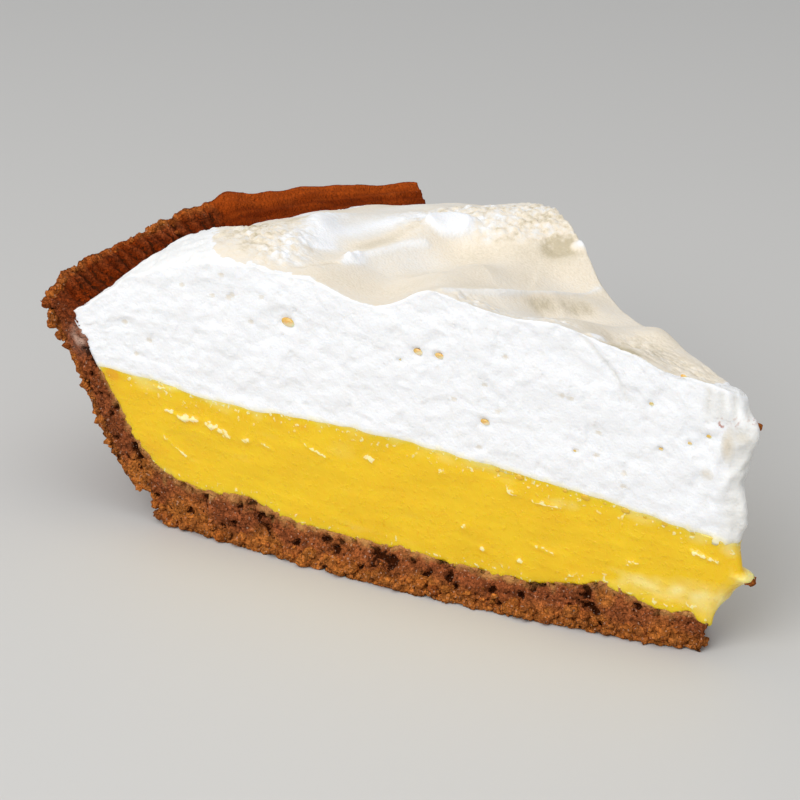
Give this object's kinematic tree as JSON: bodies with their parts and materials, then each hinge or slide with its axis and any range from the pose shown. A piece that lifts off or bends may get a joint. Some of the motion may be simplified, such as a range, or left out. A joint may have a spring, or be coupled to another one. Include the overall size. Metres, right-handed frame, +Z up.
{
  "type": "lemon cream pie slice",
  "caption": "Cut wedge of lemon cream pie: crumb crust with a flared wall, yellow lemon filling, thick whipped cream with a spatula-swirled top.",
  "frame": {"origin": "centre of the bounding box, at the bottom of the crust", "axes": "+X along the slice's centre line towards its tip, +Z up; the rim is at -X and the cut faces look towards -Y and +Y"},
  "size_m": [0.1127, 0.0807, 0.0472],
  "materials": {
    "crust": "coarse matte brown biscuit crumb",
    "lemon": "smooth moist warm yellow custard",
    "cream": "soft matte white cream with a beige skin on top"
  },
  "bodies": {
    "root": {"crumb_crust": "crust", "lemon_filling": "lemon", "whipped_cream": "cream"}
  },
  "joints": []
}
